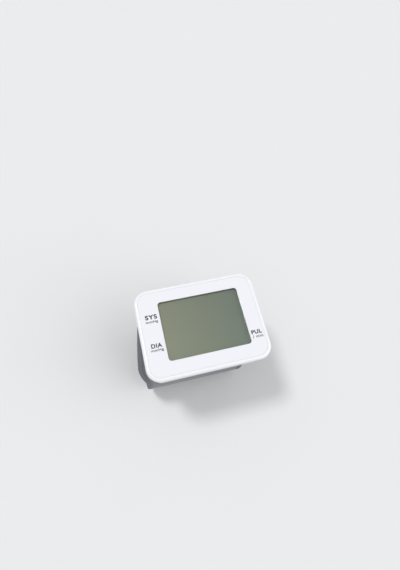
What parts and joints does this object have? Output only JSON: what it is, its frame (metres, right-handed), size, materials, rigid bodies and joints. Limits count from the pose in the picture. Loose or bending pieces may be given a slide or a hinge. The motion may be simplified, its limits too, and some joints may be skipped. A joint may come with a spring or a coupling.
{
  "type": "wrist blood pressure monitor",
  "caption": "Wrist blood pressure monitor: white housing with a large display, two push buttons, a battery door and a padded hook-and-loop cuff.",
  "frame": {"origin": "on the cuff's flat underside, straight below the middle of the housing", "axes": "+X towards the display's right, +Y towards its top, +Z out of the display; the wrist passes along X"},
  "size_m": [0.0917, 0.0653, 0.0756],
  "materials": {
    "white_gloss": "glossy moulded white plastic with a softly rounded rim",
    "white_matte": "fine satin moulded white plastic",
    "face_print": "glossy white overlay with printed labels",
    "clear_window": "clear flat window",
    "display_glass": "unlit reflective liquid crystal display, grey green",
    "black_plastic": "matt black moulded plastic",
    "grey_plastic": "matt grey moulded plastic",
    "soft_rubber": "matt dark elastomer",
    "circuit_board": "green solder mask",
    "button_plastic": "satin slate blue plastic",
    "plated_steel": "nickel plated steel",
    "cell_jacket": "dark printed battery jacket",
    "silicone_tube": "translucent silicone",
    "cuff_cloth": "brushed slate grey loop cloth",
    "lining_cloth": "smooth dark grey nylon lining",
    "edge_tape": "folded woven edge tape",
    "hook_tape": "hook side of hook and loop tape"
  },
  "bodies": {
    "housing": {"front_shell": "white_gloss", "face_panel": "face_print", "display_window": "clear_window", "lcd_panel": "display_glass", "lcd_frame": "black_plastic", "lcd_connector": "soft_rubber", "main_board": "circuit_board", "controller_chip": "black_plastic", "buzzer": "black_plastic", "pressure_sensor": "grey_plastic", "start_switch": "black_plastic", "memory_switch": "black_plastic", "rear_shell": "white_matte", "case_screw_1": "plated_steel", "case_screw_2": "plated_steel", "case_screw_3": "plated_steel", "case_screw_4": "plated_steel", "battery_inner": "cell_jacket", "battery_outer": "cell_jacket", "battery_bridge_contact": "plated_steel", "battery_minus_contact": "plated_steel", "battery_plus_contact": "plated_steel", "pump_motor": "plated_steel", "pump_head": "black_plastic", "exhaust_valve": "plated_steel", "air_manifold": "grey_plastic", "pump_tube": "silicone_tube", "valve_tube": "silicone_tube", "sensor_tube": "silicone_tube", "cuff_nipple": "grey_plastic", "cuff_cover": "cuff_cloth", "cuff_stiffener": "grey_plastic", "air_bladder": "soft_rubber", "cuff_lining": "lining_cloth", "cuff_binding": "edge_tape"},
    "start_button": {"start_button": "button_plastic", "start_switch_stem": "grey_plastic"},
    "memory_button": {"memory_button": "button_plastic", "memory_switch_stem": "grey_plastic"},
    "battery_door": {"battery_door": "white_matte"},
    "cuff_flap": {"cuff_flap": "cuff_cloth", "flap_binding": "edge_tape", "flap_hook_patch": "hook_tape"},
    "pump_crank": {"pump_crank": "plated_steel"},
    "valve_plunger": {"valve_plunger": "grey_plastic"}
  },
  "joints": [
    {"name": "start_button_press", "type": "slide", "parent": "housing", "child": "start_button", "axis": [0, -1, 0], "range_m": [0, 0.0006], "stiffness_N_per_m": 2500},
    {"name": "memory_button_press", "type": "slide", "parent": "housing", "child": "memory_button", "axis": [0, -1, 0], "range_m": [0, 0.0006], "stiffness_N_per_m": 2500},
    {"name": "battery_door_slide", "type": "slide", "parent": "housing", "child": "battery_door", "axis": [1, 0, 0], "range_m": [0, 0.014]},
    {"name": "cuff_flap_peel", "type": "hinge", "parent": "housing", "child": "cuff_flap", "pos_m": [-0.0033, 0.02158, 0.00553], "axis": [-1, 0, 0], "range_deg": [0, 75]},
    {"name": "pump_crank_spin", "type": "hinge", "parent": "housing", "child": "pump_crank", "pos_m": [-0.0118, -0.02085, 0.05706], "axis": [1, 0, 0], "continuous": true},
    {"name": "valve_plunger_pull", "type": "slide", "parent": "housing", "child": "valve_plunger", "axis": [1, 0, 0], "range_m": [0, 0.0008], "stiffness_N_per_m": 300}
  ]
}
